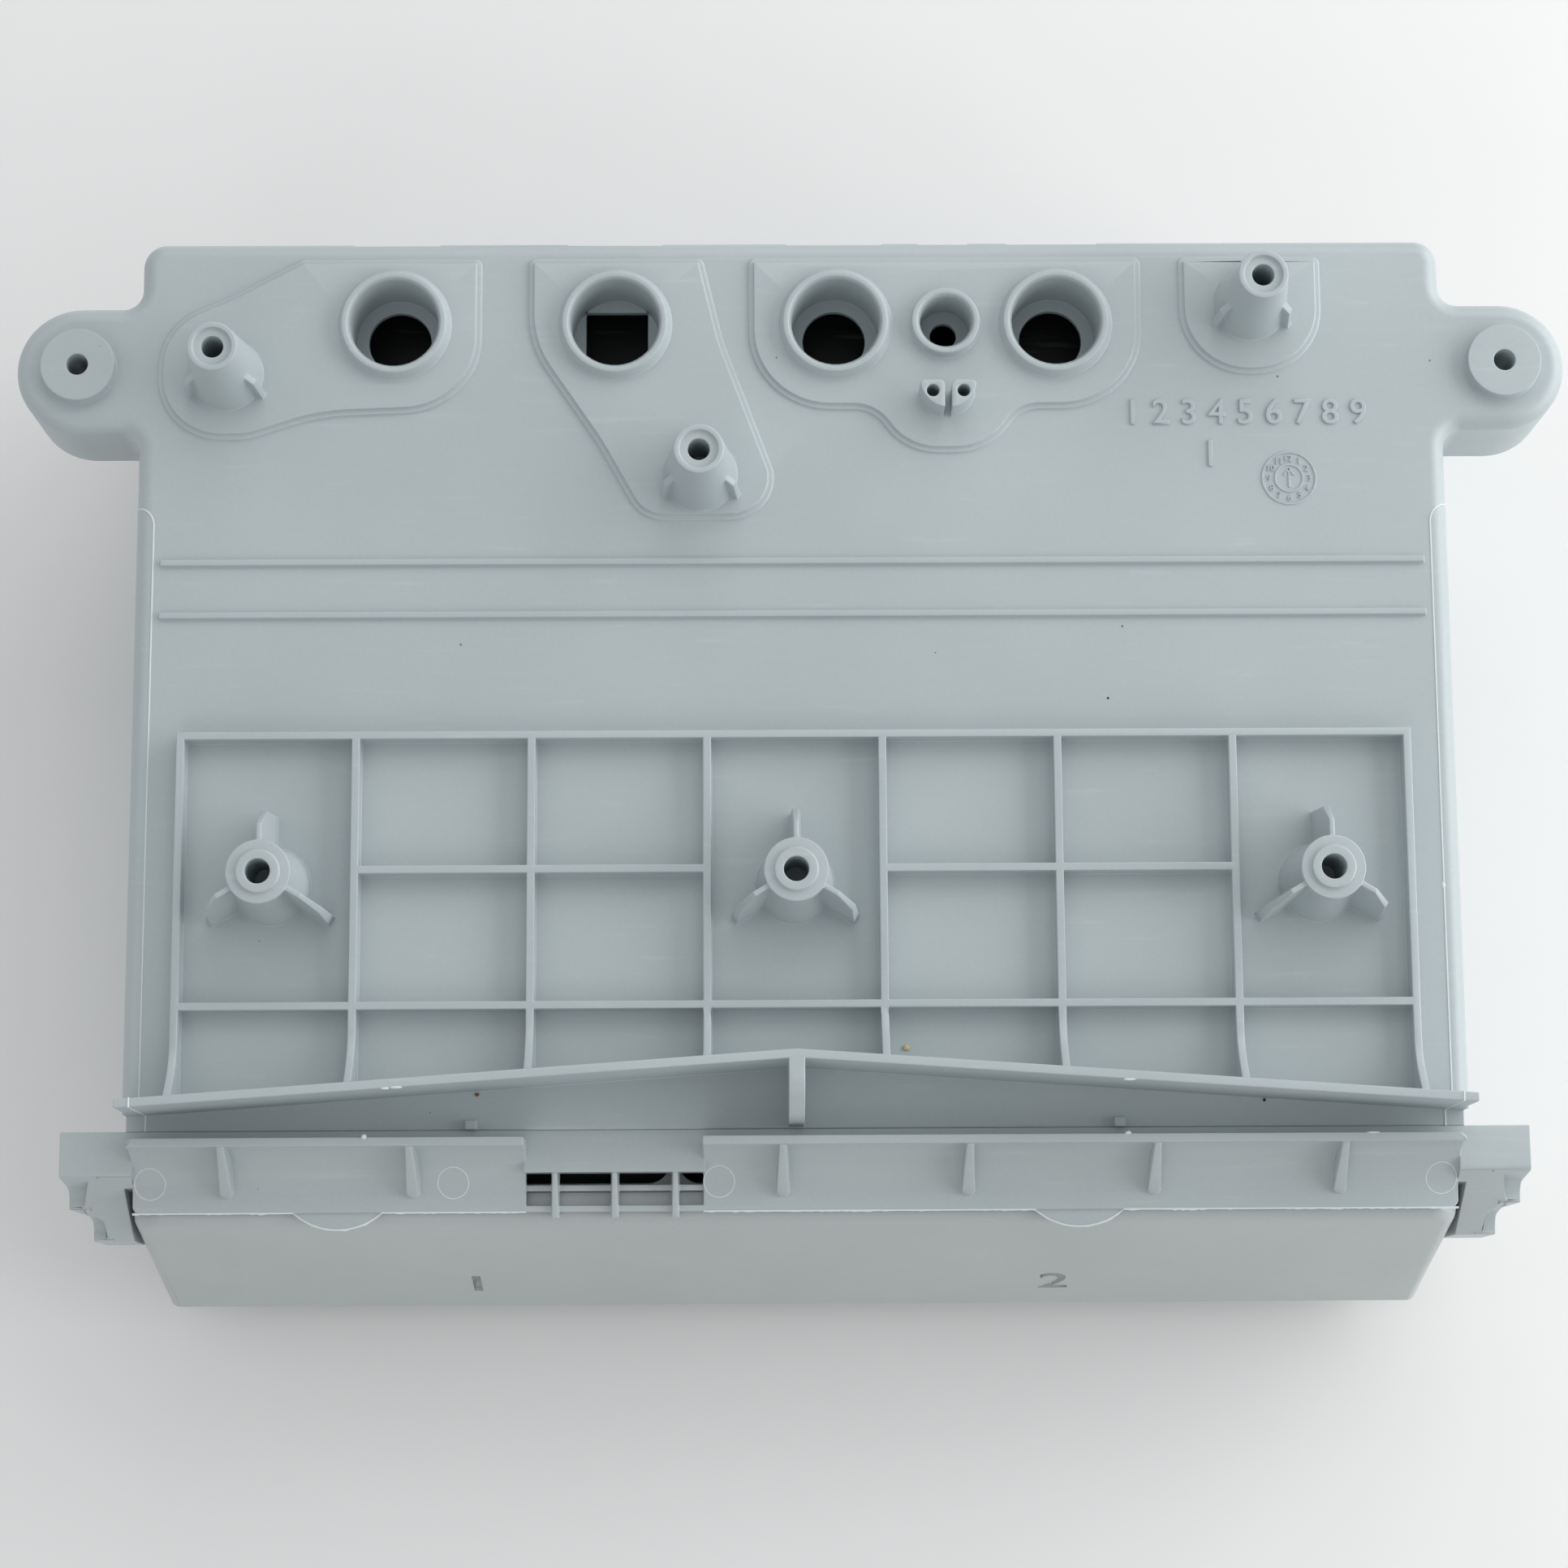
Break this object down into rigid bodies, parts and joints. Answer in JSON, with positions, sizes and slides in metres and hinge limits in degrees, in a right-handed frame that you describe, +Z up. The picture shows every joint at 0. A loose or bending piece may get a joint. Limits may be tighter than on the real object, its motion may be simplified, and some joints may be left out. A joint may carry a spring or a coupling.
{
  "type": "detergent dispenser with drawer",
  "caption": "Washer detergent dispenser: ribbed plastic housing with water sockets, screw bosses and ears, and a sliding drawer with softener and detergent compartments.",
  "frame": {"origin": "centre of the foot plane, under the middle of the overall box", "axes": "+X to the right seen from the drawer's front, +Y to the rear, +Z up"},
  "size_m": [0.363, 0.2456, 0.1145],
  "materials": {
    "housing_pp": "satin",
    "frame_pp": "satin",
    "drawer_pp": "satin",
    "inner_pp": "satin"
  },
  "bodies": {
    "housing": {"housing_top": "housing_pp", "housing_base": "housing_pp", "front_frame": "frame_pp", "shower_plate": "inner_pp"},
    "drawer": {"drawer_tray": "drawer_pp", "drawer_front": "drawer_pp", "softener_siphon_cap": "inner_pp", "detergent_siphon_cap": "inner_pp"}
  },
  "joints": [
    {"name": "drawer_slide", "type": "slide", "parent": "housing", "child": "drawer", "axis": [0, -1, 0], "range_m": [0, 0.15]}
  ]
}
